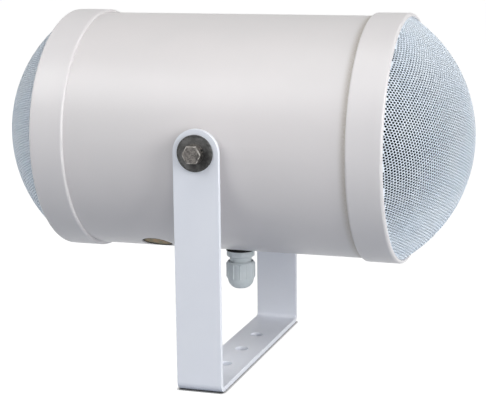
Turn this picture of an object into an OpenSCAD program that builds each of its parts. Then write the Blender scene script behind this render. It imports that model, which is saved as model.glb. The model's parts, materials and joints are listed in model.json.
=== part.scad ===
// Two-way sound projector: a round housing with a loudspeaker and a domed grille at each end, held in a
// U-shaped bracket. The origin is the middle of the bracket's underside, X runs along the housing, Z is up.

/* [Housing] */
// Outer diameter of the tube
tube_d = 190; // [186:0.5:194]
// Wall of the tube
tube_wall = 3; // [2:0.5:3.5]
// Outer diameter of the end caps
cap_d = 195; // [192:0.5:200]
// Distance from the middle to the rear edge of each end cap
cap_start = 112; // [100:1:118]
// Width of each end cap
cap_w = 28; // [24:1:32]
// Depth of the lip that stands round each grille
lip_depth = 5; // [4:0.5:7]
// Overall length over the two grilles
overall_l = 380; // [366:1:396]

/* [Grille] */
// Thickness of the grille's sheet
grille_t = 1.2; // [0.8:0.1:2]
// Rings of holes round the middle one
grille_rings = 5; // [2:1:5]
// Diameter of the holes
grille_hole_d = 4; // [2:0.5:6]
// Angle between one ring of holes and the next
grille_ring_step = 9; // [6:0.5:9.5]
// Thickness of the black lining behind the sheet
lining_t = 1; // [0.6:0.1:2]

/* [Bracket] */
// Width of the bar
bar_w = 36; // [32:1:40]
// Thickness of the bar
bar_t = 4; // [3:0.5:5]
// Width of the bracket over its legs
bracket_w = 209; // [208:0.5:214]
// Height of the bolts above the bracket's underside
pivot_h = 186; // [180:1:200]
// Inner radius of the two bends
bend_r = 3; // [2:0.5:6]
// Diameter of the holes in the base
base_hole_d = 10.5; // [6:0.5:12]
// Spacing of the holes in the base
base_hole_gap = 42; // [30:1:55]

/* [Pivot bolts] */
// Thread diameter of the bolts
bolt_d = 8; // [8:0.5:8]
// Width of the bolt heads across the flats
head_af = 13; // [13:0.5:15]
// Height of the bolt heads
head_h = 5.3; // [4:0.1:6]
// Outer diameter of the flat washers
washer_d = 28; // [24:1:30]
// Thickness of the flat washers
washer_t = 2; // [1.5:0.1:3]
// Outer diameter of the spring washers
spring_washer_d = 14.8; // [14:0.1:16]
// Outer diameter of the spacers between the legs and the tube
spacer_d = 22; // [16:1:26]

/* [Cable gland] */
// Thread diameter of the gland
gland_d = 20; // [20:0.5:20]
// Width of the gland's flange across the flats
flange_af = 22; // [21:0.5:24]
// Width of the dome nut across its ribs
dome_nut_d = 24; // [23:0.5:26]
// Bore for the cable
cable_bore_d = 9; // [6:0.5:11]

/* [Drive units] */
// Outer diameter of the frame
frame_d = 160; // [158:1:161]
// Hole in the baffle
cutout_d = 146; // [144:1:147]
// Diameter of the magnet
magnet_d = 84; // [70:1:90]
// Diameter of the centre pole
pole_d = 24.4; // [24:0.1:25]
// Height of the magnet ring
magnet_h = 14; // [10:1:18]

/* [Breather] */
// Diameter of the breather in the tube's wall
breather_d = 25; // [18:1:28]
// Distance of the breather from the middle of the tube
breather_x = -57; // [-75:1:-50]
// Angle of the breather from straight down, towards the front
breather_angle = 25.3; // [20:0.1:30]

/* [Hidden] */
$fn = 96;

// Colours
cap_white = [0.88, 0.87, 0.86];
bracket_white = [0.82, 0.84, 0.87];
grille_blue = [0.80, 0.84, 0.89];
steel = [0.60, 0.59, 0.56];
dark_steel = [0.26, 0.26, 0.25];
nylon_grey = [0.64, 0.68, 0.69];
rubber_black = [0.05, 0.05, 0.05];
bronze = [0.42, 0.36, 0.28];
zinc = [0.72, 0.73, 0.72];
ferrite = [0.18, 0.18, 0.19];
paper_grey = [0.22, 0.22, 0.24];
board_brown = [0.50, 0.38, 0.26];
copper = [0.72, 0.42, 0.24];
lead_red = [0.62, 0.12, 0.10];

// Gaps and cuts
play = 0.3;
fit = 0.05;
cut = 1;
whole = 500;

// Housing, measured from the bolts' axis
tube_r = tube_d / 2;
bore_r = tube_r - tube_wall;
cap_r = cap_d / 2;
cap_end = cap_start + cap_w;
seat_x = cap_end - lip_depth;
shoulder_t = 3;
tube_end = seat_x - shoulder_t;
lip_wall = 2.9;
lip_r = cap_r - lip_wall;
opening_r = 81;
cap_edge_r = 1.6;
cap_lip_edge_r = 2.2;
lip_inner_edge_r = 0.6;
pivot_hole_d = bolt_d + 0.4;

// Grille
grille_r = lip_r - 0.2;
grille_wall_x = cap_end - 1.6;
grille_rise = overall_l / 2 - grille_wall_x;
dome_r = (grille_r * grille_r + grille_rise * grille_rise) / (2 * grille_rise);
dome_x = overall_l / 2 - dome_r;
grille_flange_w = 5.8;

// Baffle and its screws
baffle_t = 6;
baffle_r = bore_r - 0.5;
cap_screw_r = opening_r + 4;
cap_screw_angle = 45;
screw_d = 4;
screw_hole_d = 4.4;
screw_head_d = 6.4;
screw_head_h = 2.2;

// Drive unit, from its flange back
sheet_t = 1.2;
frame_r = frame_d / 2;
frame_x = tube_end;
frame_neck_r = 70;
shelf_r = 45;
shelf_x = frame_x - 29;
shelf_in_r = 38;
seat_r = 36;
top_plate_x = frame_x - 37;
top_plate_t = 5;
gap_r = 14.2;
magnet_x = top_plate_x - top_plate_t;
back_plate_x = magnet_x - magnet_h;
back_plate_t = 6;
pole_r = pole_d / 2;
frame_front_x = frame_x + sheet_t;
driver_screw_r = 76.3;
magnet_r = magnet_d / 2;
tag_angle = 30;
tag_x = magnet_x - 10;
tag_l = 5;
tag_r = magnet_r + 1;
roll_r = 4;
roll_in_r = 61;
roll_out_r = roll_in_r + 2 * roll_r;
lip_t = 0.6;
gasket_t = 1.5;
gasket_in_r = 69.4;
gasket_out_r = 72.5;
cone_t = 0.8;
neck_r = 13;
neck_x = frame_x - 26;
former_in_r = 12.6;
coil_r = 13.8;
former_end_x = frame_x - 24;
former_start_x = top_plate_x - 11;
coil_start_x = top_plate_x - 8;
coil_end_x = top_plate_x + 3;
dust_cap_r = 16;
dust_cap_rise = 5;
spider_t = 0.5;
spider_wave = 1.2;
spider_waves = 5;

// Inner fittings
brace_w = 40;
brace_t = 4;
saddle_t = 4;
saddle_w = 50;
boss_r = 9;
boss_l = 7;
boss_in_y = bore_r - saddle_t - boss_l;
core_l = 54;
core_h = 45;
core_w = 20;
core_y = 27;
limb_w = 9;
winding_w = 44;
strap_t = 1.5;
strap_tab = 9;
strap_end = core_l / 2 + strap_t + fit;
strap_screw_y = strap_end + (strap_tab - strap_t) / 2;
strap_w = core_w - 6;
block_l = 34;
block_w = 18;
block_h = 16;
block_y = -48;
block_ways = 3;
block_pitch = 10;
block_well = 5;

// Cable gland, heights below the bolts' axis
seal_bottom = tube_r + 2.4;
seal_r = 11.8;
flange_bottom = seal_bottom + 5.8;
flange_bevel = 1.8;
flange_bevel_slope = 2;
neck_bottom = flange_bottom + 4.8;
thread_r = gland_d / 2;
thread_top = bore_r - 9;
nut_top = flange_bottom + 3.4;
nut_straight_end = nut_top + 13.9;
nut_end = nut_straight_end + 8.4;
nut_r = dome_nut_d / 2 - 0.5;
nut_bevel = 1.2;
nut_mouth_r = 10.2;
nut_mouth_depth = 3;
nut_ball_r = 8.5;
nut_step = 0.8;
nut_ball_drop = 0.7;
neck_thread_r = 9;
barrel_r = 8.2;
barrel_l = 8;
grommet_end = nut_straight_end + 2.8;
nut_bore_r = cable_bore_d / 2 + 0.6;
locknut_h = 5;
locknut_af = 26;
gland_hole_r = thread_r + 0.25;
rib_count = 12;
rib_r = 0.8;
rib_gap = 0.4;

// Breather
breather_r = breather_d / 2;
breather_ring = 1.6;
breather_face = tube_r - 1.2;
breather_flange_r = breather_r + 3;
breather_flange_t = 3;

// Bracket and pivot stack, from the middle out
leg_out_y = bracket_w / 2;
leg_in_y = leg_out_y - bar_t;
washer_y = leg_out_y + washer_t;
spring_t = 2;
spring_y = washer_y + spring_t;
base_holes = 3;
spacer_r = spacer_d / 2;
spacer_gap = 0.2;
bolt_end_y = boss_in_y + 1;

// Routes of the two inner leads, from the terminal block to each drive unit's tags
lead_r = 1.8;
lead_sides = 10;
lead_steps = 8;
lead_route = [
    [10, block_y + block_w / 2, 7.4], [10, -33, 7.6], [20, -26, 12], [38, -23, 24], [56, -21.8, 34],
    [68, -21.5, 37], [tag_x - tag_l, -tag_r * sin(tag_angle), tag_r * cos(tag_angle)]
];

// Places

module at_pivot() { translate([0, 0, pivot_h]) children(); }

module on_side(side) { at_pivot() mirror([side < 0 ? 1 : 0, 0, 0]) children(); }

module about_x() { rotate([0, 90, 0]) rotate_extrude() children(); }

module about_bolt(side) { at_pivot() rotate([side < 0 ? 90 : -90, 0, 0]) children(); }

module ring(r_out, r_in, from, to) {
    translate([r_in, from]) square([r_out - r_in, to - from]);
}

module tube_solid(r_out, r_in, from, to) {
    translate([0, 0, from]) difference() {
        cylinder(r = r_out, h = to - from);
        translate([0, 0, -cut]) cylinder(r = r_in, h = to - from + 2 * cut);
    }
}

module tube_core(r) {
    rotate([0, 90, 0]) cylinder(r = r, h = whole, center = true, $fn = 128);
}

module hex_prism(af, h) {
    cylinder(r = af / sqrt(3), h = h, $fn = 6);
}

// Soft outer edges on a turned ring: the corner at [r, x] is cut back by a circle of radius e
module round_corner(r, x, e, dir_r, dir_x) {
    translate([r, x]) difference() {
        translate([dir_r > 0 ? -e : -cut, dir_x > 0 ? -e : -cut]) square([e + cut, e + cut]);
        translate([-dir_r * e, -dir_x * e]) circle(r = e, $fn = 48);
    }
}

// Bracket

module leg_outline() {
    union() {
        translate([-bar_w / 2, bend_r + bar_t]) square([bar_w, pivot_h - bend_r - bar_t]);
        translate([0, pivot_h]) circle(r = bar_w / 2);
    }
}

module leg(side) {
    rotate([90, 0, 0]) translate([0, 0, side > 0 ? -leg_out_y : leg_in_y]) difference() {
        linear_extrude(height = bar_t) leg_outline();
        translate([0, pivot_h, -cut]) cylinder(d = pivot_hole_d, h = bar_t + 2 * cut);
    }
}

module bend(side) {
    translate([0, side * (leg_in_y - bend_r), bar_t + bend_r]) rotate([0, 90, 0]) intersection() {
        translate([0, 0, -bar_w / 2]) tube_solid(bend_r + bar_t, bend_r, 0, bar_w);
        translate([0, side > 0 ? 0 : -whole, -bar_w]) cube([whole, whole, 2 * bar_w]);
    }
}

module bracket() {
    color(bracket_white) union() {
        leg(-1);
        leg(1);
        bend(-1);
        bend(1);
        difference() {
            translate([-bar_w / 2, -leg_in_y + bend_r, 0]) cube([bar_w, 2 * (leg_in_y - bend_r), bar_t]);
            for (i = [0 : base_holes - 1])
                translate([0, (i - (base_holes - 1) / 2) * base_hole_gap, -cut])
                    cylinder(d = base_hole_d, h = bar_t + 2 * cut);
        }
    }
}

// Housing

module housing_tube() {
    color(cap_white) at_pivot() difference() {
        rotate([0, 90, 0]) translate([0, 0, -tube_end]) tube_solid(tube_r, bore_r, 0, 2 * tube_end);
        rotate([90, 0, 0]) cylinder(d = pivot_hole_d, h = whole, center = true);
        translate([0, 0, -whole]) cylinder(r = gland_hole_r, h = whole);
        translate([breather_x, 0, 0]) rotate([180 - breather_angle, 0, 0])
            cylinder(r = breather_r + fit, h = whole);
    }
}

module cap_profile() {
    difference() {
        union() {
            ring(cap_r, tube_r + fit, cap_start, tube_end);
            ring(cap_r, opening_r, tube_end, seat_x);
            ring(cap_r, lip_r, seat_x, cap_end);
        }
        round_corner(cap_r, cap_start, cap_edge_r, 1, -1);
        round_corner(cap_r, cap_end, cap_lip_edge_r, 1, 1);
        round_corner(lip_r, cap_end, lip_inner_edge_r, -1, 1);
    }
}

module end_cap(side) {
    color(cap_white) on_side(side) difference() {
        about_x() cap_profile();
        for (i = [0 : 3])
            rotate([cap_screw_angle + 90 * i, 0, 0]) translate([tube_end - cut, 0, cap_screw_r])
                rotate([0, 90, 0]) cylinder(d = screw_hole_d, h = shoulder_t + 2 * cut);
    }
}

module grille_profile() {
    union() {
        ring(grille_r, grille_r - grille_flange_w, seat_x, seat_x + grille_t);
        ring(grille_r, grille_r - grille_t, seat_x, grille_wall_x);
        intersection() {
            translate([0, dome_x]) difference() {
                circle(r = dome_r, $fn = 180);
                circle(r = dome_r - grille_t, $fn = 180);
            }
            translate([0, grille_wall_x]) square([grille_r, grille_rise + cut]);
        }
    }
}

module grille(side) {
    color(grille_blue) on_side(side) difference() {
        about_x() grille_profile();
        grille_hole(0, 0);
        for (n = [1 : grille_rings], i = [0 : 6 * n - 1])
            grille_hole(60 * i / n, grille_ring_step * n);
    }
}

module lining_profile() {
    lining_r = dome_r - grille_t - fit;
    intersection() {
        translate([0, dome_x]) difference() {
            circle(r = lining_r, $fn = 180);
            circle(r = lining_r - lining_t, $fn = 180);
        }
        translate([0, grille_wall_x]) square([grille_r - grille_t - fit, grille_rise + cut]);
    }
}

module grille_lining(side) {
    color(rubber_black) on_side(side) about_x() lining_profile();
}

module grille_hole(around, off_axis) {
    translate([dome_x, 0, 0]) rotate([around, 0, 0]) rotate([0, 90 - off_axis, 0])
        translate([0, 0, dome_r - 2 * grille_t]) cylinder(d = grille_hole_d, h = 3 * grille_t, $fn = 24);
}

module baffle(side) {
    color(board_brown) on_side(side) difference() {
        about_x() ring(baffle_r, cutout_d / 2, tube_end - baffle_t, tube_end);
        for (i = [0 : 3]) {
            rotate([cap_screw_angle + 90 * i, 0, 0]) translate([tube_end - baffle_t - cut, 0, cap_screw_r])
                rotate([0, 90, 0]) cylinder(d = screw_d + 2 * fit, h = baffle_t + 2 * cut);
            rotate([90 * i, 0, 0]) translate([tube_end - baffle_t - cut, 0, driver_screw_r])
                rotate([0, 90, 0]) cylinder(d = screw_d + 2 * fit, h = baffle_t + 2 * cut);
        }
    }
}

module screw(length) {
    union() {
        cylinder(d = screw_head_d, h = screw_head_h);
        translate([0, 0, -length]) cylinder(d = screw_d, h = length + cut);
    }
}

module cap_screws() {
    color(steel) for (side = [-1, 1]) on_side(side)
        for (i = [0 : 3])
            rotate([cap_screw_angle + 90 * i, 0, 0]) translate([seat_x, 0, cap_screw_r])
                rotate([0, 90, 0]) screw(shoulder_t + baffle_t);
}

module driver_screws() {
    color(steel) for (side = [-1, 1]) on_side(side)
        for (i = [0 : 3])
            rotate([90 * i, 0, 0]) translate([frame_front_x, 0, driver_screw_r])
                rotate([0, 90, 0]) screw(sheet_t + baffle_t);
}

// Drive units

module frame_profile() {
    polygon([
        [frame_r, frame_x], [frame_neck_r, frame_x], [shelf_r, shelf_x], [shelf_in_r, shelf_x],
        [seat_r, top_plate_x], [pole_r + 8, top_plate_x], [pole_r + 8, top_plate_x + sheet_t],
        [seat_r - 1, top_plate_x + sheet_t], [shelf_in_r - 1, shelf_x + sheet_t],
        [shelf_r - 0.6, shelf_x + sheet_t], [frame_neck_r - 0.6, frame_front_x],
        [frame_r, frame_front_x]
    ]);
}

module driver_frame(side) {
    window_w = 34;
    window_x = shelf_x + 4;
    window_end_x = frame_x - 4;
    color(ferrite) on_side(side) difference() {
        about_x() frame_profile();
        for (i = [0 : 3]) {
            rotate([45 + 90 * i, 0, 0]) translate([window_x, -window_w / 2, shelf_r - 6])
                cube([window_end_x - window_x, window_w, frame_neck_r - shelf_r + 8]);
            rotate([90 * i, 0, 0]) translate([frame_x - cut, 0, driver_screw_r])
                rotate([0, 90, 0]) cylinder(d = screw_hole_d, h = sheet_t + 2 * cut);
        }
    }
}

module gasket(side) {
    color(rubber_black) on_side(side) about_x()
        ring(gasket_out_r, gasket_in_r, frame_front_x + lip_t, frame_front_x + lip_t + gasket_t);
}

module surround_profile() {
    union() {
        ring(roll_in_r + 0.3, roll_in_r - 3.5, frame_front_x, frame_front_x + lip_t);
        ring(gasket_out_r, roll_out_r - 0.3, frame_front_x, frame_front_x + lip_t);
        intersection() {
            translate([roll_in_r + roll_r, frame_front_x]) difference() {
                circle(r = roll_r, $fn = 48);
                circle(r = roll_r - lip_t, $fn = 48);
            }
            translate([roll_in_r, frame_front_x]) square([2 * roll_r, roll_r + cut]);
        }
    }
}

module surround(side) {
    color(rubber_black) on_side(side) about_x() surround_profile();
}

module cone_profile() {
    rim_x = frame_front_x - lip_t;
    polygon([
        [neck_r + fit, neck_x], [roll_in_r - 3.5, rim_x], [roll_in_r - fit, rim_x],
        [roll_in_r - fit, frame_front_x], [roll_in_r - 4.2, frame_front_x],
        [neck_r + fit, neck_x + 1.2 * cone_t]
    ]);
}

module cone(side) {
    color(paper_grey) on_side(side) about_x() cone_profile();
}

module dust_cap(side) {
    front_x = neck_x + 1.4 * cone_t + (dust_cap_r - neck_r) * (frame_front_x - neck_x) / (roll_in_r - neck_r);
    r = (dust_cap_r * dust_cap_r + dust_cap_rise * dust_cap_rise) / (2 * dust_cap_rise);
    color(paper_grey) on_side(side) about_x() intersection() {
        translate([0, front_x + dust_cap_rise - r]) difference() {
            circle(r = r, $fn = 96);
            circle(r = r - lip_t, $fn = 96);
        }
        translate([0, front_x]) square([dust_cap_r, dust_cap_rise + cut]);
    }
}

module voice_coil(side) {
    color(copper) on_side(side) about_x() union() {
        ring(neck_r, former_in_r, former_start_x, former_end_x);
        ring(coil_r, former_in_r, coil_start_x, coil_end_x);
    }
}

function spider_x(r) = shelf_x + sheet_t + (r > shelf_in_r - 1 ? 0 : spider_wave
    * (1 - cos(360 * spider_waves * (shelf_in_r - 1 - r) / (shelf_in_r - 1 - coil_r))) / 2);

module spider(side) {
    radii = [for (r = [neck_r + fit : 0.8 : shelf_r - 2]) r];
    last = len(radii) - 1;
    color([0.75, 0.62, 0.35]) on_side(side) about_x() polygon(concat(
        [for (i = [0 : last]) [radii[i], spider_x(radii[i])]],
        [for (i = [last : -1 : 0]) [radii[i], spider_x(radii[i]) + spider_t]]
    ));
}

module top_plate(side) {
    color(zinc) on_side(side) about_x() ring(magnet_r - 3, gap_r, magnet_x, top_plate_x);
}

module magnet(side) {
    color(ferrite) on_side(side) about_x() ring(magnet_r, gap_r + 5, back_plate_x, magnet_x);
}

module pole_piece(side) {
    color(zinc) on_side(side) about_x() union() {
        ring(magnet_r - 3, 0, back_plate_x - back_plate_t, back_plate_x);
        ring(pole_r, 0, back_plate_x - cut, top_plate_x);
    }
}

module driver_tags(side) {
    color(board_brown) on_side(side) rotate([tag_angle, 0, 0]) union() {
        difference() {
            translate([tag_x, -9, magnet_r - 1]) cube([12, 18, 2.4]);
            tube_core(magnet_r + fit);
        }
        for (y = [-2.4, 0.4]) translate([tag_x - tag_l, y, tag_r - 0.4]) cube([tag_l + 2, 2, 0.8]);
    }
}

// Inner fittings

module saddle(side) {
    intersection() {
        difference() {
            tube_core(bore_r);
            tube_core(bore_r - saddle_t);
        }
        translate([-saddle_w / 2, side > 0 ? 0 : -whole, -saddle_w / 2]) cube([saddle_w, whole, saddle_w]);
    }
}

module cross_brace() {
    bar_end = bore_r - saddle_t + 1.5;
    color(zinc) at_pivot() difference() {
        union() {
            saddle(-1);
            saddle(1);
            difference() {
                translate([-brace_w / 2, -bar_end, -brace_t / 2]) cube([brace_w, 2 * bar_end, brace_t]);
                tube_cutter();
            }
            for (side = [-1, 1]) rotate([side * 90, 0, 0]) translate([0, 0, boss_in_y])
                cylinder(r = boss_r, h = bore_r - saddle_t + 1 - boss_in_y);
        }
        for (side = [-1, 1]) rotate([side * 90, 0, 0]) translate([0, 0, boss_in_y - cut])
            cylinder(d = bolt_d + 2 * fit, h = whole);
        for (side = [-1, 1])
            translate([0, core_y + side * strap_screw_y, -brace_t])
                cylinder(d = screw_d + 2 * fit, h = 2 * brace_t);
    }
}

module tube_cutter() {
    difference() {
        tube_core(whole / 2);
        tube_core(bore_r - saddle_t + 1.5);
    }
}

module at_core() { at_pivot() translate([0, core_y, brace_t / 2]) children(); }

module transformer_core() {
    window_l = core_l / 2 - 2 * limb_w;
    color(dark_steel) at_core() difference() {
        translate([-core_w / 2, -core_l / 2, 0]) cube([core_w, core_l, core_h]);
        for (y = [-limb_w - window_l, limb_w])
            translate([-core_w, y, limb_w]) cube([2 * core_w, window_l, core_h - 2 * limb_w]);
    }
}

module transformer_winding() {
    half_l = core_l / 2 - limb_w - play;
    color(copper) at_core() difference() {
        translate([-winding_w / 2, -half_l, limb_w + play])
            cube([winding_w, 2 * half_l, core_h - 2 * limb_w - 2 * play]);
        translate([-core_w / 2 - fit, -limb_w - fit, 0])
            cube([core_w + 2 * fit, 2 * (limb_w + fit), core_h + cut]);
    }
}

module strap_foot(side) {
    rotate([0, 0, side < 0 ? 180 : 0]) difference() {
        translate([-strap_w / 2, strap_end - strap_t, 0]) cube([strap_w, strap_tab, strap_t]);
        translate([0, strap_screw_y, -cut]) cylinder(d = screw_hole_d, h = strap_t + 2 * cut);
    }
}

module transformer_strap() {
    color(zinc) at_core() union() {
        difference() {
            translate([-strap_w / 2, -strap_end, 0]) cube([strap_w, 2 * strap_end, core_h + strap_t + fit]);
            translate([-core_w, -core_l / 2 - fit, -cut])
                cube([2 * core_w, core_l + 2 * fit, core_h + fit + cut]);
        }
        strap_foot(-1);
        strap_foot(1);
    }
}

module transformer_screws() {
    color(steel) at_core() for (side = [-1, 1])
        translate([0, side * strap_screw_y, strap_t]) screw(strap_t + brace_t);
}

module terminal_block() {
    color([0.86, 0.85, 0.80]) at_pivot() translate([0, block_y, brace_t / 2]) difference() {
        translate([-block_l / 2, -block_w / 2, 0]) cube([block_l, block_w, block_h]);
        for (i = [0 : block_ways - 1]) translate([(i - 1) * block_pitch, 0, 0]) {
            translate([0, 0, block_h - block_well]) cylinder(d = 5, h = block_well + cut);
            translate([0, 0, block_h / 3]) rotate([90, 0, 0])
                cylinder(r = lead_r, h = 2 * block_w, center = true);
        }
    }
}

module terminal_screws() {
    color([0.78, 0.66, 0.32]) at_pivot() translate([0, block_y, brace_t / 2 + block_h - block_well + fit])
        for (i = [0 : block_ways - 1]) translate([(i - 1) * block_pitch, 0, 0]) difference() {
            cylinder(d = 4.6, h = 3);
            translate([-3, -0.4, 2]) cube([6, 0.8, 2]);
        }
}

// A lead is a round section carried along a smooth curve through the points of its route
function curve_at(p, i, t) = let (
    n = len(p) - 1,
    a = p[max(i - 1, 0)], b = p[i], c = p[i + 1], d = p[min(i + 2, n)]
) 0.5 * ((2 * b) + (c - a) * t + (2 * a - 5 * b + 4 * c - d) * t * t + (3 * b - a - 3 * c + d) * t * t * t);

function unit(v) = v / norm(v);

module lead_tube(route) {
    line = [for (i = [0 : len(route) - 2], k = [0 : lead_steps - 1]) curve_at(route, i, k / lead_steps)];
    path = concat(line, [route[len(route) - 1]]);
    last = len(path) - 1;
    rings = [for (i = [0 : last]) let (
        dir = unit(path[min(i + 1, last)] - path[max(i - 1, 0)]),
        side = unit(cross(dir, [0, 1, 0.01])),
        up = cross(side, dir)
    ) [for (k = [0 : lead_sides - 1]) path[i]
        + lead_r * (cos(360 * k / lead_sides) * side + sin(360 * k / lead_sides) * up)]];
    points = [for (one = rings) for (point = one) point];
    walls = [for (i = [0 : last - 1], k = [0 : lead_sides - 1]) [
        i * lead_sides + k, i * lead_sides + (k + 1) % lead_sides,
        (i + 1) * lead_sides + (k + 1) % lead_sides, (i + 1) * lead_sides + k
    ]];
    start = [[for (k = [lead_sides - 1 : -1 : 0]) k]];
    end = [[for (k = [0 : lead_sides - 1]) last * lead_sides + k]];
    polyhedron(points = points, faces = concat(walls, start, end));
}

module lead(side) {
    color(lead_red) on_side(side) lead_tube(lead_route);
}

// Cable gland

module gland_seal() {
    color(rubber_black) at_pivot() difference() {
        translate([0, 0, -seal_bottom]) tube_solid(seal_r, gland_hole_r, 0, seal_bottom - bore_r);
        tube_core(tube_r + fit);
    }
}

module gland_body() {
    color(nylon_grey) at_pivot() difference() {
        union() {
            intersection() {
                translate([0, 0, -flange_bottom]) hex_prism(flange_af, flange_bottom - seal_bottom);
                translate([0, 0, -flange_bottom]) cylinder(
                    r1 = flange_af / 2 - flange_bevel,
                    r2 = flange_af / 2 - flange_bevel + flange_bevel_slope * (flange_bottom - seal_bottom),
                    h = flange_bottom - seal_bottom);
                translate([0, 0, -flange_bottom]) cylinder(r = flange_af / 2 + 0.6, h = whole);
            }
            translate([0, 0, -neck_bottom]) cylinder(r = neck_thread_r, h = neck_bottom - seal_bottom);
            translate([0, 0, -neck_bottom - barrel_l]) cylinder(r = barrel_r, h = barrel_l + cut);
            translate([0, 0, -seal_bottom - cut]) cylinder(r = thread_r, h = seal_bottom + cut - thread_top);
        }
        translate([0, 0, -whole / 2]) cylinder(r = nut_bore_r + 1.2, h = whole);
    }
}

module gland_grommet() {
    color(rubber_black) at_pivot() translate([0, 0, -grommet_end])
        tube_solid(nut_bore_r + 1.2 - fit, cable_bore_d / 2, 0, grommet_end - neck_bottom + 2);
}

module dome_nut_profile() {
    difference() {
        union() {
            translate([0, -nut_top - nut_bevel])
                polygon([[0, 0], [nut_r, 0], [nut_mouth_r + 0.4, nut_bevel], [0, nut_bevel]]);
            translate([0, -nut_straight_end]) square([nut_r, nut_straight_end - nut_top - nut_bevel]);
            intersection() {
                translate([nut_r - nut_step - nut_ball_r, -nut_straight_end - nut_ball_drop])
                    circle(r = nut_ball_r);
                translate([0, -nut_end]) square([nut_r, nut_end - nut_straight_end + cut]);
            }
        }
        translate([0, -nut_end - cut]) square([nut_bore_r, whole]);
        translate([0, -nut_straight_end - 3]) square([barrel_r + 0.2, whole]);
        translate([0, -nut_top - nut_mouth_depth]) square([nut_mouth_r, whole]);
    }
}

module gland_nut() {
    color(nylon_grey) at_pivot() union() {
        rotate_extrude() dome_nut_profile();
        for (i = [0 : rib_count - 1])
            rotate([0, 0, (i + 0.5) * 360 / rib_count])
                translate([dome_nut_d / 2 - rib_r, 0, -nut_straight_end + rib_gap])
                    cylinder(r = rib_r, h = nut_straight_end - nut_top - nut_bevel - 2 * rib_gap, $fn = 24);
    }
}

module outside_bore() {
    difference() {
        tube_core(whole / 2);
        tube_core(bore_r);
    }
}

module gland_locknut() {
    color(nylon_grey) at_pivot() difference() {
        translate([0, 0, -bore_r]) hex_prism(locknut_af, locknut_h + 2);
        translate([0, 0, -whole]) cylinder(r = thread_r + fit, h = 2 * whole);
        outside_bore();
    }
}

// Breather

module at_breather() {
    at_pivot() translate([breather_x, 0, 0]) rotate([180 - breather_angle, 0, 0]) children();
}

module breather_body() {
    color(rubber_black) union() {
        at_breather() tube_solid(breather_r, breather_r - breather_ring, bore_r - 3, tube_r - 0.9);
        difference() {
            at_breather() tube_solid(breather_flange_r, breather_r - breather_ring,
                bore_r - breather_flange_t, bore_r);
            at_pivot() outside_bore();
        }
    }
}

module breather_disc() {
    color(bronze) at_breather() translate([0, 0, breather_face - 2.5])
        cylinder(r = breather_r - breather_ring - fit, h = 2.5);
}

// Pivot hardware

module spacer(side) {
    color(rubber_black) at_pivot() difference() {
        rotate([side * -90, 0, 0])
            tube_solid(spacer_r, pivot_hole_d / 2, tube_r - 2, leg_in_y - spacer_gap);
        tube_core(tube_r + fit);
    }
}

module flat_washer(side) {
    color(dark_steel) about_bolt(side) tube_solid(washer_d / 2, pivot_hole_d / 2, leg_out_y, washer_y);
}

module spring_washer(side) {
    slit = 1.6;
    color(dark_steel) about_bolt(side) difference() {
        tube_solid(spring_washer_d / 2, pivot_hole_d / 2, washer_y, spring_y);
        rotate([0, 0, 25]) translate([0, -slit / 2, washer_y - cut])
            cube([spring_washer_d, slit, spring_t + 2 * cut]);
    }
}

module bolt(side) {
    color(steel) about_bolt(side) union() {
        intersection() {
            translate([0, 0, spring_y]) hex_prism(head_af, head_h);
            translate([0, 0, spring_y]) cylinder(
                r1 = head_af / 2 + 0.3 + 1.8 * head_h, r2 = head_af / 2 - 0.2, h = head_h);
            translate([0, 0, spring_y]) cylinder(r = head_af / sqrt(3), h = head_h);
        }
        translate([0, 0, bolt_end_y]) cylinder(d = bolt_d, h = spring_y - bolt_end_y + cut);
    }
}

bracket();
housing_tube();
end_cap(1);  // end_cap_right
end_cap(-1);  // end_cap_left
grille(1);  // grille_right
grille(-1);  // grille_left
grille_lining(1);  // grille_lining_right
grille_lining(-1);  // grille_lining_left
baffle(1);  // baffle_right
baffle(-1);  // baffle_left
cap_screws();
driver_frame(1);  // driver_frame_right
driver_frame(-1);  // driver_frame_left
driver_screws();
gasket(1);  // gasket_right
gasket(-1);  // gasket_left
surround(1);  // surround_right
surround(-1);  // surround_left
cone(1);  // cone_right
cone(-1);  // cone_left
dust_cap(1);  // dust_cap_right
dust_cap(-1);  // dust_cap_left
voice_coil(1);  // voice_coil_right
voice_coil(-1);  // voice_coil_left
spider(1);  // spider_right
spider(-1);  // spider_left
top_plate(1);  // top_plate_right
top_plate(-1);  // top_plate_left
magnet(1);  // magnet_right
magnet(-1);  // magnet_left
pole_piece(1);  // pole_piece_right
pole_piece(-1);  // pole_piece_left
driver_tags(1);  // driver_tags_right
driver_tags(-1);  // driver_tags_left
cross_brace();
transformer_core();
transformer_winding();
transformer_strap();
transformer_screws();
terminal_block();
terminal_screws();
lead(1);  // lead_right
lead(-1);  // lead_left
gland_seal();
gland_body();
gland_grommet();
gland_nut();
gland_locknut();
breather_body();
breather_disc();
spacer(-1);  // front_spacer
spacer(1);  // rear_spacer
flat_washer(-1);  // front_flat_washer
flat_washer(1);  // rear_flat_washer
spring_washer(-1);  // front_spring_washer
spring_washer(1);  // rear_spring_washer
bolt(-1);  // front_bolt
bolt(1);  // rear_bolt
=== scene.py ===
import json
import math

import bmesh
import bpy
import numpy as np
from mathutils import Matrix, Vector


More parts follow.
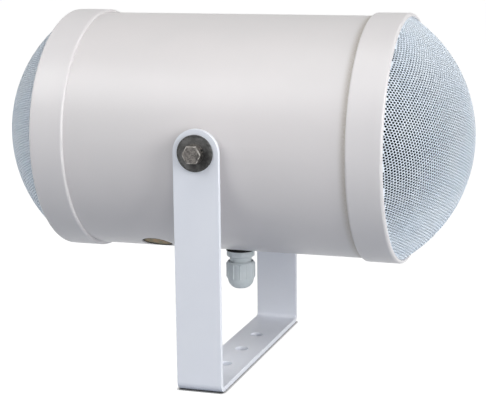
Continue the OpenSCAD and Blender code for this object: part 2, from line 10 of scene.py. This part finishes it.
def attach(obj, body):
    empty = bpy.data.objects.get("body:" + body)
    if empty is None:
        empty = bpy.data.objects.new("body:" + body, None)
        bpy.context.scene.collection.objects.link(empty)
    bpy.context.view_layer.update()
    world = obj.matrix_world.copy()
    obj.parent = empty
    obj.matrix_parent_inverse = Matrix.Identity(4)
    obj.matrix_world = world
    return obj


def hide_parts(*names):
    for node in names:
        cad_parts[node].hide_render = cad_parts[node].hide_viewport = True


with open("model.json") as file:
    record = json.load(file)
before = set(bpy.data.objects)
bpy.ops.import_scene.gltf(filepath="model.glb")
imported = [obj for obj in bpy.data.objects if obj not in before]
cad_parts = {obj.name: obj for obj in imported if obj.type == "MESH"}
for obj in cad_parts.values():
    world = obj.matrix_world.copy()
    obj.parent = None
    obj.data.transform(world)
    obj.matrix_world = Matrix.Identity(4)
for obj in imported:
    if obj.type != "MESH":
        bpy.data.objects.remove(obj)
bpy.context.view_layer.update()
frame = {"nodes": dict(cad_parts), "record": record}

nodes = frame["nodes"]
pivotHeight = 0.186
print("frame loaded with", len(nodes), "CAD nodes")

# Shader maths: a Value is one socket, and arithmetic on it adds Math nodes


class Value:
    def __init__(self, finish, socket):
        self.finish = finish
        self.socket = socket

    def maths(self, operation, *terms):
        settings = {"operation": operation}
        return self.finish.add("ShaderNodeMath", settings, dict(enumerate(terms)))

    def __add__(self, other): return self.maths("ADD", self, other)
    def __radd__(self, other): return self.maths("ADD", other, self)
    def __sub__(self, other): return self.maths("SUBTRACT", self, other)
    def __mul__(self, other): return self.maths("MULTIPLY", self, other)
    def __rmul__(self, other): return self.maths("MULTIPLY", other, self)
    def __pow__(self, other): return self.maths("POWER", self, other)
    def __abs__(self): return self.maths("ABSOLUTE", self)

    def clamped(self, low=0.0, high=1.0):
        return self.maths("MINIMUM", self.maths("MAXIMUM", self, low), high)

    def between(self, start, end):  # 0 at start, 1 at end, smooth in between
        settings = {"interpolation_type": "SMOOTHSTEP", "clamp": True}
        inputs = {"Value": self, "From Min": start, "From Max": end}
        return self.finish.add("ShaderNodeMapRange", settings, inputs)


class Finish:
    def __init__(self, owner):  # the material or the world that the nodes belong to
        self.owner = owner
        self.owner.use_nodes = True
        self.tree = self.owner.node_tree
        self.tree.nodes.clear()
        self.place = None

    # The one way a node is made: its type, its settings, then the values or links of its sockets
    def add(self, kind, settings=None, inputs=None, output=0):
        node = self.tree.nodes.new(kind)
        for key, setting in (settings or {}).items():
            setattr(node, key, setting)
        for key, given in (inputs or {}).items():
            if isinstance(given, Value):
                self.tree.links.new(given.socket, node.inputs[key])
            else:
                node.inputs[key].default_value = given
        return Value(self, node.outputs[output]) if node.outputs else None

    def objectPlace(self):
        if self.place is None:
            self.place = self.add("ShaderNodeTexCoord", None, None, "Object")
        return self.place

    def axes(self):
        place = {0: self.objectPlace()}
        return [self.add("ShaderNodeSeparateXYZ", None, place, k) for k in range(3)]

    def noise(self, scale, detail=2.0, roughness=0.5, place=None):
        inputs = {"Vector": place or self.objectPlace(), "Scale": scale,
                  "Detail": detail, "Roughness": roughness}
        return self.add("ShaderNodeTexNoise", None, inputs, 0)

    def cells(self, scale):
        inputs = {"Vector": self.objectPlace(), "Scale": scale}
        return self.add("ShaderNodeTexVoronoi", None, inputs, "Distance")

    def stretched(self, scales, turn):
        inputs = {"Vector": self.objectPlace(), "Rotation": turn, "Scale": scales}
        return self.add("ShaderNodeMapping", None, inputs)

    def mix(self, share, first, second):
        inputs = {0: share, 6: first, 7: second}
        return self.add("ShaderNodeMix", {"data_type": "RGBA"}, inputs, 2)

    def bump(self, height, strength, distance):
        inputs = {"Height": height, "Strength": strength, "Distance": distance}
        return self.add("ShaderNodeBump", None, inputs)

    def close(self, shader, output="ShaderNodeOutputMaterial"):
        self.add(output, None, {"Surface": shader})
        return self.owner


def newMaterial(name):
    return Finish(bpy.data.materials.new(name))


def tone(red, green, blue):  # a display colour of 0 to 255, as the linear colour a socket takes
    def linear(c):
        c = c / 255
        return c / 12.92 if c <= 0.04045 else ((c + 0.055) / 1.055) ** 2.4
    return (linear(red), linear(green), linear(blue), 1.0)


def principled(finish, colour, roughness, normal, constants):
    inputs = {"Base Color": colour, "Roughness": roughness, "Normal": normal}
    return finish.add("ShaderNodeBsdfPrincipled", None, {**inputs, **constants})


# Paint: large cloudy tone, fine orange peel, and a painted shadow that the right cap's step casts on
# the tube beside it

housingPaint = {
    "colour": (230, 226, 226), "cloudy": (226, 223, 223), "capShadowTone": (186, 178, 164),
    "cloudScale": 9.0, "peelScale": 700.0, "peelStrength": 0.06, "roughness": 0.3,
    "speckleScale": 1400.0, "capEdge": 0.112, "capShadowReach": 0.007,
}


def makeHousingPaint(name, values):
    finish = newMaterial(name)
    along = finish.axes()[0]
    cloud = finish.noise(values["cloudScale"], 3.0).between(0.35, 0.65)
    base = finish.mix(cloud, tone(*values["colour"]), tone(*values["cloudy"]))
    speckle = finish.noise(values["speckleScale"], 2.0).between(0.3, 0.7)
    # Painted shadow of the right cap's step: a darker beige band on the tube just left of the cap,
    # where the paint is also rougher
    near = along.between(values["capEdge"] - values["capShadowReach"], values["capEdge"])
    capShadow = near * (0.4 + 0.4 * speckle)
    colour = finish.mix(capShadow, base, tone(*values["capShadowTone"]))
    rough = values["roughness"] + 0.06 * cloud + 0.25 * capShadow
    normal = finish.bump(finish.noise(values["peelScale"], 2.0), values["peelStrength"], 0.0004)
    return finish.close(principled(finish, colour, rough, normal, {"IOR": 1.5}))


# Mouldings and coatings that differ only in their numbers: two tones, a grain and a gloss

coatings = {
    "capPlastic": {"tones": [(231, 228, 228), (227, 224, 225)], "toneScale": 14.0,
                   "grainScale": 900.0, "grain": 0.05, "gloss": (0.3, 0.38)},
    "bracketPaint": {"tones": [(243, 246, 253), (240, 243, 251)], "toneScale": 30.0,
                     "grainScale": 1500.0, "grain": 0.12, "gloss": (0.34, 0.46)},
    "grillePaint": {"tones": [(240, 248, 255), (233, 243, 253)], "toneScale": 40.0,
                    "grainScale": 1800.0, "grain": 0.08, "gloss": (0.42, 0.55)},
    "liningFoam": {"tones": [(9, 9, 10), (4, 4, 5)], "toneScale": 300.0,
                   "grainScale": 1500.0, "grain": 0.5, "gloss": (0.9, 1.0), "ior": 1.05},
    "baffleBoard": {"tones": [(120, 96, 66), (100, 78, 52)], "toneScale": 90.0,
                    "grainScale": 1200.0, "grain": 0.3, "gloss": (0.8, 0.9)},
    "framePaint": {"tones": [(38, 38, 40), (30, 30, 32)], "toneScale": 60.0,
                   "grainScale": 1500.0, "grain": 0.15, "gloss": (0.45, 0.6)},
    "softRubber": {"tones": [(16, 16, 17), (10, 10, 11)], "toneScale": 120.0,
                   "grainScale": 2500.0, "grain": 0.15, "gloss": (0.6, 0.75), "ior": 1.25},
    "conePulp": {"tones": [(62, 62, 66), (44, 44, 48)], "toneScale": 260.0,
                 "grainScale": 1600.0, "grain": 0.5, "gloss": (0.85, 0.95)},
    "ferrite": {"tones": [(56, 56, 60), (42, 42, 45)], "toneScale": 160.0,
                "grainScale": 1800.0, "grain": 0.3, "gloss": (0.6, 0.75)},
    "tagBoard": {"tones": [(150, 118, 80), (128, 98, 64)], "toneScale": 200.0,
                 "grainScale": 1800.0, "grain": 0.2, "gloss": (0.55, 0.7)},
    "blockPlastic": {"tones": [(224, 221, 208), (214, 211, 198)], "toneScale": 120.0,
                     "grainScale": 1800.0, "grain": 0.1, "gloss": (0.35, 0.45)},
    "leadCover": {"tones": [(170, 34, 28), (146, 26, 22)], "toneScale": 200.0,
                  "grainScale": 2000.0, "grain": 0.1, "gloss": (0.35, 0.5)},
    "glandNylon": {"tones": [(223, 230, 232), (214, 222, 224)], "toneScale": 90.0,
                   "grainScale": 2200.0, "grain": 0.12, "gloss": (0.36, 0.5)},
    "spacerPlastic": {"tones": [(28, 28, 30), (20, 20, 21)], "toneScale": 120.0,
                      "grainScale": 2200.0, "grain": 0.12, "gloss": (0.5, 0.6)},
}


def makeCoating(name, values):
    finish = newMaterial(name)
    first, second = [tone(*t) for t in values["tones"]]
    cloud = finish.noise(values["toneScale"], 3.0).between(0.3, 0.7)
    fine = finish.noise(values["grainScale"], 2.0)
    colour = finish.mix(0.7 * cloud + 0.3 * fine, first, second)
    low, high = values["gloss"]
    rough = low + (high - low) * cloud
    normal = finish.bump(fine, values["grain"], 0.0003)
    constants = {"IOR": values.get("ior", 1.5)}
    return finish.close(principled(finish, colour, rough, normal, constants))


# Bare and plated metals: a tone with stains, fine scratches and spots

metals = {
    "screwSteel": {"tones": [(182, 182, 180), (150, 151, 150)], "scratch": 0.25, "rough": 0.34},
    "plateSteel": {"tones": [(196, 198, 196), (168, 171, 168)], "scratch": 0.2, "rough": 0.36},
    "coreSteel": {"tones": [(84, 84, 82), (62, 62, 61)], "scratch": 0.5, "rough": 0.5},
    "coilCopper": {"tones": [(196, 118, 70), (160, 90, 50)], "scratch": 0.5, "rough": 0.3},
    "terminalBrass": {"tones": [(204, 176, 92), (176, 148, 74)], "scratch": 0.25, "rough": 0.32},
}
metalGrain = {
    "stainScale": 220.0, "lineScale": 600.0, "stretch": (1.0, 6.0, 14.0), "turn": (0.4, 0.2, 0.3),
}


def makeMetal(name, values, grain):
    finish = newMaterial(name)
    first, second = [tone(*t) for t in values["tones"]]
    stain = finish.noise(grain["stainScale"], 4.0, 0.6).between(0.35, 0.65)
    place = finish.stretched(grain["stretch"], grain["turn"])
    lines = finish.noise(grain["lineScale"], 3.0, 0.6, place)
    colour = finish.mix(0.75 * stain + 0.25 * lines, first, second)
    rough = values["rough"] + 0.18 * stain
    normal = finish.bump(lines, values["scratch"], 0.0002)
    constants = {"Metallic": 1.0, "IOR": 1.5}
    return finish.close(principled(finish, colour, rough, normal, constants))


# Spider: a plain weave of two crossed sine waves, stiffened with brown resin

spiderCloth = {"thread": 5000.0, "valley": (164, 132, 66), "ridge": (206, 176, 106)}


def makeSpiderCloth(name, values):
    finish = newMaterial(name)
    _, across, up = finish.axes()
    warp, weft = [axis.maths("SINE", axis * values["thread"]) for axis in (across, up)]
    weave = (0.5 + 0.25 * warp + 0.25 * weft).clamped()
    colour = finish.mix(weave, tone(*values["valley"]), tone(*values["ridge"]))
    normal = finish.bump(weave, 0.4, 0.0003)
    return finish.close(principled(finish, colour, 0.75 + 0.1 * weave, normal, {"IOR": 1.45}))


# Weathered steel of washers and bolts: stains, a painted shadow below and right of the head, and a
# rim of another tone: a painted dark reflection on the washer, a painted highlight on the head. Round
# the bolt's axis, the painted shadow is measured from a point right of it and below, and the rim from
# the distance to a hexagon's sides, the larger of |z| and 0.866 |x| + 0.5 |z|. The rim is only where
# |y| is beyond its given depth.

weathered = {
    "washerSteel": {"tones": [(104, 104, 103), (76, 75, 74)], "stainScale": 260.0,
                    "scratch": 0.4, "rough": 0.42, "metallic": 0.3, "headShadow": (26, 25, 25),
                    "headShadowPlace": (0.0045, -0.004), "headShadowReach": (0.012, 0.006),
                    "rimReflection": (60, 60, 60), "rimReflectionFrom": (0.0112, 0.0124),
                    "rimReflectionDepth": (0.104, 0.1045)},
    "boltSteel": {"tones": [(138, 133, 128), (76, 73, 71)], "stainScale": 700.0,
                  "scratch": 0.8, "rough": 0.3, "metallic": 0.45, "headShadow": (40, 38, 37),
                  "headShadowPlace": (0.009, -0.003), "headShadowReach": (0.0075, 0.003),
                  "rimReflection": (188, 184, 178), "rimReflectionFrom": (0.0054, 0.0064),
                  "rimReflectionDepth": (0.1118, 0.113)},
}


def makeWeathered(name, values):
    finish = newMaterial(name)
    x, y, height = finish.axes()
    z = height - pivotHeight
    first, second = [tone(*t) for t in values["tones"]]
    stain = finish.noise(values["stainScale"], 4.0, 0.6).between(0.35, 0.65)
    lines = finish.noise(900.0, 3.0, 0.6)
    right, low = values["headShadowPlace"]
    aside = ((x - right) ** 2.0 + (z - low) ** 2.0) ** 0.5
    # Painted shadow that the head casts on the steel, below and right of it
    headShadow = aside.between(*values["headShadowReach"]) * (0.6 + 0.4 * stain)
    # Painted reflection on the rim: dark on the washer's edge, a bright highlight on the bolt head's
    # edges
    slanted = 0.866 * abs(x) + 0.5 * abs(z)
    patchy = finish.noise(380.0, 2.0).between(0.35, 0.6) * abs(y).between(*values["rimReflectionDepth"])
    rimReflection = patchy * abs(z).maths("MAXIMUM", abs(z), slanted).between(*values["rimReflectionFrom"])
    colour = finish.mix(0.75 * stain + 0.25 * lines, first, second)
    colour = finish.mix(headShadow, colour, tone(*values["headShadow"]))
    colour = finish.mix(rimReflection, colour, tone(*values["rimReflection"]))
    normal = finish.bump(lines, values["scratch"], 0.0002)
    constants = {"Metallic": values["metallic"], "IOR": 1.5}
    rough = values["rough"] + 0.18 * stain
    return finish.close(principled(finish, colour, rough, normal, constants))


# Sintered disc: packed grains, brown with olive and bluish stains

sinteredBronze = {
    "grain": 900.0, "brown": (150, 122, 90), "olive": (108, 106, 82), "stain": (60, 64, 66),
}


def makeSinteredBronze(name, values):
    finish = newMaterial(name)
    grains = finish.cells(values["grain"])
    patch = finish.noise(160.0, 3.0, 0.6).between(0.4, 0.6)
    stain = finish.noise(90.0, 3.0, 0.6).between(0.55, 0.72)
    colour = finish.mix(patch, tone(*values["brown"]), tone(*values["olive"]))
    colour = finish.mix(stain, colour, tone(*values["stain"]))
    normal = finish.bump(grains, 0.6, 0.0006)
    rough = 0.5 + 0.3 * grains.clamped()
    return finish.close(principled(finish, colour, rough, normal, {"Metallic": 0.55}))


finishes = {name: makeCoating(name, values) for name, values in coatings.items()}
finishes.update({name: makeMetal(name, values, metalGrain) for name, values in metals.items()})
finishes.update({name: makeWeathered(name, values) for name, values in weathered.items()})
finishes["housingPaint"] = makeHousingPaint("housingPaint", housingPaint)
finishes["spiderCloth"] = makeSpiderCloth("spiderCloth", spiderCloth)
finishes["sinteredBronze"] = makeSinteredBronze("sinteredBronze", sinteredBronze)

# The finish of each of the record's material slots
slotFinish = {
    "bracket_paint": "bracketPaint", "housing_paint": "housingPaint", "cap_plastic": "capPlastic",
    "grille_paint": "grillePaint", "lining_foam": "liningFoam", "baffle_board": "baffleBoard",
    "screw_steel": "screwSteel", "frame_paint": "framePaint", "soft_rubber": "softRubber",
    "cone_paper": "conePulp", "coil_copper": "coilCopper", "spider_cloth": "spiderCloth",
    "plate_steel": "plateSteel", "ferrite": "ferrite", "tag_board": "tagBoard",
    "core_steel": "coreSteel", "block_plastic": "blockPlastic", "terminal_brass": "terminalBrass",
    "lead_cover": "leadCover", "gland_nylon": "glandNylon", "sintered_bronze": "sinteredBronze",
    "spacer_plastic": "spacerPlastic", "washer_steel": "washerSteel", "bolt_steel": "boltSteel",
}
slotOf = {entry["node"]: entry["material_slot"] for entry in frame["record"]["subparts"]}


def setFinish(piece, slotName):
    piece.data.materials.clear()
    piece.data.materials.append(finishes[slotFinish[slotName]])


for nodeName, node in nodes.items():
    setFinish(node, slotOf[nodeName])
print("finishes made:", len(finishes))


def meshPiece(name, points, faces, slotName, body):
    mesh = bpy.data.meshes.new(name)
    mesh.from_pydata(points.tolist(), [], faces)
    mesh.validate()
    piece = bpy.data.objects.new(name, mesh)
    bpy.context.scene.collection.objects.link(piece)
    setFinish(piece, slotName)
    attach(piece, body)
    return piece


# Edges that catch the light: a copy of a CAD node, merged, with its sharp edges rounded

softEdges = {
    "bracket": {"piece": "bracketBar", "body": "yoke", "width": 0.0009, "steps": 3},
    "front_flat_washer": {"piece": "frontFlatWasher", "body": "housing", "width": 0.0003, "steps": 2},
    "rear_flat_washer": {"piece": "rearFlatWasher", "body": "housing", "width": 0.0003, "steps": 2},
    "front_bolt": {"piece": "frontBolt", "body": "housing", "width": 0.0005, "steps": 2},
    "rear_bolt": {"piece": "rearBolt", "body": "housing", "width": 0.0005, "steps": 2},
    "gland_body": {"piece": "glandBody", "body": "housing", "width": 0.0003, "steps": 2},
    "gland_nut": {"piece": "glandNut", "body": "housing", "width": 0.0004, "steps": 3},
}


mergeWithin = 2e-6
flatWithin = math.radians(0.3)
sharpFrom = math.radians(28)


def roundedCopy(nodeName, values):
    mesh = bpy.data.meshes.new(values["piece"])
    shape = bmesh.new()
    shape.from_mesh(nodes[nodeName].data)
    bmesh.ops.remove_doubles(shape, verts=shape.verts, dist=mergeWithin)
    bmesh.ops.dissolve_limit(shape, angle_limit=flatWithin, verts=shape.verts, edges=shape.edges)
    for face in shape.faces:
        face.smooth = True
    shape.to_mesh(mesh)
    shape.free()
    piece = bpy.data.objects.new(values["piece"], mesh)
    bpy.context.scene.collection.objects.link(piece)
    bevel = piece.modifiers.new("roundedEdges", "BEVEL")
    bevel.width = values["width"]
    bevel.segments = values["steps"]
    bevel.limit_method = "ANGLE"
    bevel.angle_limit = sharpFrom
    bevel.harden_normals = True
    # Normals weighted by area keep the long flat faces flat beside the bends
    flat = piece.modifiers.new("flatFaces", "WEIGHTED_NORMAL")
    flat.keep_sharp = True
    setFinish(piece, slotOf[nodeName])
    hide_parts(nodeName)
    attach(piece, values["body"])
    return piece


for nodeName, values in softEdges.items():
    roundedCopy(nodeName, values)
print("edges rounded on", len(softEdges), "pieces")

# Perforated grille. Holes stand in staggered rows on a flat disc, which is pressed into a dome
# without changing areas: a flat point at radius rho goes to the polar angle 2 asin(rho / 2R).

perforatedGrille = {
    "pitch": 0.0024, "hole": 0.0022, "turn": -20.0, "sheet": 0.0011, "rim": 0.0944,
    "height": 0.0516, "apex": 0.19, "seat": 0.135, "flange": 0.0058, "margin": 0.00025,
    "rimSteps": 192,
}


def domeRadius(values):  # of the sphere through the rim and the apex
    rise, rim = values["height"], values["rim"]
    return (rim * rim + rise * rise) / (2 * rise)


def pressed(flat, depth, values):  # flat points onto the sphere that lies depth under the dome
    radius = domeRadius(values)
    rho = np.linalg.norm(flat, axis=-1)
    angle = 2 * np.arcsin(rho / (2 * radius))
    around = flat / np.maximum(rho, 1e-9)[..., None]
    r = radius - depth
    along = values["apex"] - radius + r * np.cos(angle)
    across = (r * np.sin(angle))[..., None] * around
    return np.concatenate([along[..., None], across], axis=-1)


def perforatedHalf(name, side, half, nodeName, values):  # half is the sign of Y on the right dome
    pitch, radius = values["pitch"], domeRadius(values)
    edge = 2 * radius * math.sin(math.asin(values["rim"] / radius) / 2)
    count = int(edge / pitch) + 3
    row, column = np.meshgrid(np.arange(-2 * count, 2 * count + 1), np.arange(-count, count + 1),
                              indexing="ij")
    centre = np.stack([pitch * (column + 0.5 * (row % 2)), pitch * math.sqrt(0.75) * row], axis=-1)
    turn = math.radians(values["turn"])
    turned = np.array([[math.cos(turn), math.sin(turn)], [-math.sin(turn), math.cos(turn)]])
    centre = centre.reshape(-1, 2) @ turned
    centre = centre[(centre[:, 0] < 0) == (half < 0)]
    spokeAngle = turn + np.radians(30 + 60 * np.arange(6))
    spokes = np.stack([np.cos(spokeAngle), np.sin(spokeAngle)], axis=-1)
    corner = centre[:, None, :] + pitch / math.sqrt(3) * spokes
    keep = (np.linalg.norm(corner, axis=-1) < edge).any(axis=1)
    centre, corner = centre[keep], corner[keep]
    key = np.round(corner.reshape(-1, 2) / (pitch * 0.01)).astype(np.int64)
    _, first, index = np.unique(key, axis=0, return_index=True, return_inverse=True)
    index = index.reshape(-1, 6)
    shared = corner.reshape(-1, 2)[first]
    length = np.linalg.norm(shared, axis=1)
    shared = shared * np.where(length >= edge, edge / length, 1.0)[:, None]
    hole = centre[:, None, :] + values["hole"] / 2 * spokes
    holed = (np.linalg.norm(hole, axis=-1) < edge - values["margin"]).all(axis=1)
    hole = hole[holed]
    holeCount, sharedCount = len(hole), len(shared)
    layerSize = sharedCount + 6 * holeCount
    flat = np.concatenate([shared, hole.reshape(-1, 2)])
    points = np.concatenate([pressed(flat, 0.0, values), pressed(flat, values["sheet"], values)])
    holeIndex = sharedCount + np.arange(6 * holeCount).reshape(-1, 6)
    a, b = index[holed], np.roll(index[holed], -1, axis=1)
    c, d = np.roll(holeIndex, -1, axis=1), holeIndex
    front = np.stack([a, b, c, d], axis=-1).reshape(-1, 4)
    wall = np.stack([d, c, c + layerSize, d + layerSize], axis=-1).reshape(-1, 4)
    solid = index[~holed]
    # An edge that only one kept cell has is on the border, which gets a wall of its own
    starts, ends = index.reshape(-1), np.roll(index, -1, axis=1).reshape(-1)
    lone = ~np.isin(starts * sharedCount + ends, ends * sharedCount + starts)
    s, e = starts[lone], ends[lone]
    border = np.stack([e, s, s + layerSize, e + layerSize], axis=-1)
    quads = np.concatenate([front, front[:, ::-1] + layerSize, wall, border])
    sixes = np.concatenate([solid, solid[:, ::-1] + layerSize])
    placeOnDome(name, side, nodeName, points, [quads, sixes])
    print(name, "has", holeCount, "holes and", 2 * len(quads) + 4 * len(sixes), "triangles")


def grilleRim(name, side, nodeName, values):  # the seat, the wall and the slanted edge the dome meets
    rim, sheet, radius = values["rim"], values["sheet"], domeRadius(values)
    seat, flange = values["seat"], values["flange"]
    inset = sheet * rim / radius
    drop = sheet * math.sqrt(radius * radius - rim * rim) / radius
    start = values["apex"] - values["height"]
    profile = [(rim, start), (rim, seat), (rim - flange, seat), (rim - flange, seat + sheet),
               (rim - sheet, seat + sheet), (rim - inset, start - drop)]
    steps = values["rimSteps"]
    around = 2 * math.pi * np.arange(steps) / steps
    spokes = np.stack([np.cos(around), np.sin(around)], axis=-1)
    points = np.concatenate([np.column_stack([np.full(steps, x), r * spokes]) for r, x in profile])
    ring = np.arange(len(points)).reshape(-1, steps)
    lower = np.roll(ring, -1, axis=0)
    quads = np.stack([ring, lower, np.roll(lower, -1, axis=1), np.roll(ring, -1, axis=1)], axis=-1)
    placeOnDome(name, side, nodeName, points, [quads.reshape(-1, 4)])


def placeOnDome(name, side, nodeName, points, groups):
    if side < 0:
        points = points * np.array([-1, 1, 1])
        groups = [group[:, ::-1] for group in groups]
    points = points + np.array([0, 0, pivotHeight])
    faces = [face for group in groups for face in group.tolist()]
    piece = meshPiece(name, points, faces, "grille_paint", "housing")
    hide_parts(nodeName)
    piece.data.shade_smooth()
    piece.data.set_sharp_from_angle(angle=math.radians(45))


for sideName, side in {"Right": 1, "Left": -1}.items():
    nodeName = "grille_" + sideName.lower()
    perforatedHalf("grilleFront" + sideName, side, -1, nodeName, perforatedGrille)
    perforatedHalf("grilleRear" + sideName, side, 1, nodeName, perforatedGrille)
    grilleRim("grilleRim" + sideName, side, nodeName, perforatedGrille)

# Floor and air: camera, mirror and glass rays see them white, and the floor's glow fades only
# where the object touches it

studio = {
    "floorSize": 30.0, "floorTone": (0.15, 0.15, 0.15), "floorBounce": (0.36, 0.39, 0.44),
    "floorGlow": 1.0, "contactReach": 0.003, "contactDepth": 3.2, "worldTone": 0.02,
}
lamps = {
    "keyLamp": {"place": (-1.05, -1.45, 1.85), "size": 1.3, "power": 18.7},
    "sideLamp": {"place": (2.1, -0.7, 0.8), "size": 1.5, "power": 41.0},
    "topLamp": {"place": (0.0, -0.5, 2.3), "size": 1.2, "power": 10.0},
    "lowLamp": {"place": (1.2, -2.0, 0.2), "size": 1.0, "power": 11.5},
    "leftLamp": {"place": (-2.2, -0.5, 1.0), "size": 1.4, "power": 15.0},
}


def seenRays(finish):  # 1 for camera, mirror and glass rays, 0 for all others
    rays = [finish.add("ShaderNodeLightPath", None, None, key)
            for key in ("Is Camera Ray", "Is Glossy Ray", "Is Transmission Ray")]
    return sum(rays, 0.0).clamped()


def makeFloor(values):
    finish = newMaterial("floorWhite")
    seen = seenRays(finish)
    pale = finish.mix(seen, values["floorBounce"] + (1.0,), values["floorTone"] + (1.0,))
    diffuse = finish.add("ShaderNodeBsdfDiffuse", None, {"Color": pale})
    openSky = finish.add("ShaderNodeAmbientOcclusion", {"samples": 8},
                         {"Distance": values["contactReach"]}, "AO")
    strength = seen * values["floorGlow"] * openSky ** values["contactDepth"]
    glow = finish.add("ShaderNodeEmission", None, {"Strength": strength})
    half = values["floorSize"] / 2
    mesh = bpy.data.meshes.new("studioFloor")
    mesh.from_pydata([(-half, -half, 0), (half, -half, 0), (half, half, 0), (-half, half, 0)],
                     [], [(0, 1, 2, 3)])
    floor = bpy.data.objects.new("studioFloor", mesh)
    bpy.context.scene.collection.objects.link(floor)
    both = finish.add("ShaderNodeAddShader", None, {0: diffuse, 1: glow})
    mesh.materials.append(finish.close(both))


def makeWorld(values):
    world = bpy.data.worlds.new("studioAir")
    bpy.context.scene.world = world
    finish = Finish(world)
    strength = values["worldTone"] + (1.0 - values["worldTone"]) * seenRays(finish)
    background = finish.add("ShaderNodeBackground", None, {"Strength": strength})
    finish.close(background, "ShaderNodeOutputWorld")


def makeLamp(name, values, target):
    lamp = bpy.data.lights.new(name, "AREA")
    lamp.shape = "SQUARE"
    lamp.size = values["size"]
    lamp.energy = values["power"]
    place = Vector(values["place"])
    holder = bpy.data.objects.new(name, lamp)
    holder.location = place
    holder.rotation_euler = (Vector(target) - place).to_track_quat("-Z", "Y").to_euler()
    bpy.context.scene.collection.objects.link(holder)


makeFloor(studio)
makeWorld(studio)
middle = (0, 0, pivotHeight)
for lampName, values in lamps.items():
    makeLamp(lampName, values, middle)
bpy.context.scene.view_settings.view_transform = "Standard"
print("studio ready")

# Camera: its angles in degrees, its distance and aim in millimetres from the pivot, its focal
# length in pixels of a picture 486 wide

viewpoint = {
    "azimuth": 18.2457, "elevation": 11.4701, "roll": -0.6797, "focal": 1462.37,
    "distance": 1192.65, "aimX": 2.581, "aimZ": -55.741, "width": 486, "sensor": 36.0,
}


def makeCamera(values):
    turn, rise, roll = [math.radians(values[k]) for k in ("azimuth", "elevation", "roll")]
    ahead = Vector((-math.sin(turn) * math.cos(rise), math.cos(turn) * math.cos(rise),
                    -math.sin(rise)))
    right = Vector((math.cos(turn), math.sin(turn), 0))
    up = right.cross(ahead)
    tiltedRight = right * math.cos(roll) + up * math.sin(roll)
    tiltedUp = up * math.cos(roll) - right * math.sin(roll)
    aim = Vector((values["aimX"], 0, values["aimZ"])) / 1000 + Vector(middle)
    data = bpy.data.cameras.new("photoCamera")
    data.sensor_width = values["sensor"]
    data.lens = values["focal"] * values["sensor"] / values["width"]
    camera = bpy.data.objects.new("photoCamera", data)
    axes = Matrix((tiltedRight, tiltedUp, -ahead)).transposed().to_4x4()
    camera.matrix_world = Matrix.Translation(aim - ahead * values["distance"] / 1000) @ axes
    bpy.context.scene.collection.objects.link(camera)
    bpy.context.scene.camera = camera


makeCamera(viewpoint)
print("camera placed")
